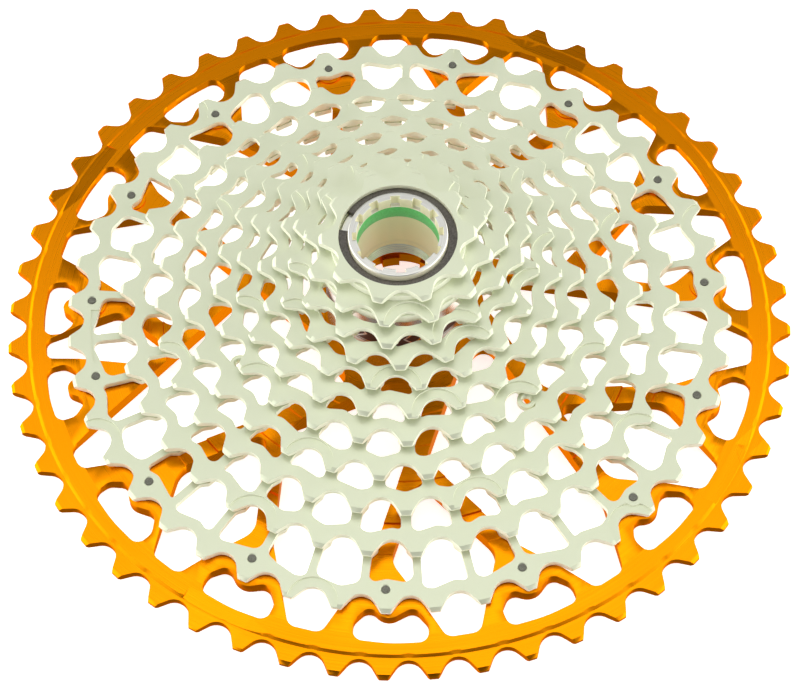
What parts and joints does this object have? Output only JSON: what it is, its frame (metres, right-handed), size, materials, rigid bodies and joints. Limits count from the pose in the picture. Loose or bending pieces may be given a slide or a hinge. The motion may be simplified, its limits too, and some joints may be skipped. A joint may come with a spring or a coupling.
{
  "type": "bicycle rear cassette",
  "caption": "Wide-range bicycle cassette: orange aluminium large sprocket with a splined hub, a pinned steel cone of smaller sprockets and a free-turning lock tube.",
  "frame": {"origin": "on the cassette's axis, in the plane of the large sprocket's back face", "axes": "+Z runs along the axis from the large sprocket towards the smallest one; +X and +Y lie in the back face"},
  "size_m": [0.212, 0.212, 0.0441],
  "materials": {
    "orange_aluminium": "orange anodised, fine turned lines",
    "cog_steel": "satin nickel plated",
    "pin_steel": "dark, matte",
    "sleeve_aluminium": "bright satin with a dark etched band",
    "tube_steel": "turned, bright",
    "green_polymer": "satin moulded",
    "spring_steel": "dark oxide"
  },
  "bodies": {
    "cassette": {"sprocket_52t": "orange_aluminium", "spider_arm_1": "orange_aluminium", "spider_arm_2": "orange_aluminium", "spider_arm_3": "orange_aluminium", "spider_arm_4": "orange_aluminium", "spider_arm_5": "orange_aluminium", "spider_arm_6": "orange_aluminium", "spider_arm_7": "orange_aluminium", "driver_hub": "orange_aluminium", "sprocket_44t": "cog_steel", "sprocket_37t": "cog_steel", "sprocket_32t": "cog_steel", "sprocket_28t": "cog_steel", "sprocket_24t": "cog_steel", "sprocket_21t": "cog_steel", "sprocket_18t": "cog_steel", "sprocket_16t": "cog_steel", "sprocket_14t": "cog_steel", "sprocket_12t": "cog_steel", "sprocket_10t": "cog_steel", "support_sleeve": "sleeve_aluminium", "snap_ring": "spring_steel", "pin_01": "pin_steel", "pin_02": "pin_steel", "pin_03": "pin_steel", "pin_04": "pin_steel", "pin_05": "pin_steel", "pin_06": "pin_steel", "pin_07": "pin_steel", "pin_08": "pin_steel", "pin_09": "pin_steel", "pin_10": "pin_steel", "pin_11": "pin_steel", "pin_12": "pin_steel", "pin_13": "pin_steel", "pin_14": "pin_steel", "pin_15": "pin_steel"},
    "lock_tube": {"lock_tube": "tube_steel", "green_ring": "green_polymer"}
  },
  "joints": [
    {"name": "lock_tube_spin", "type": "hinge", "parent": "cassette", "child": "lock_tube", "pos_m": [0, 0, 0.0386], "axis": [0, 0, 1], "continuous": true}
  ]
}
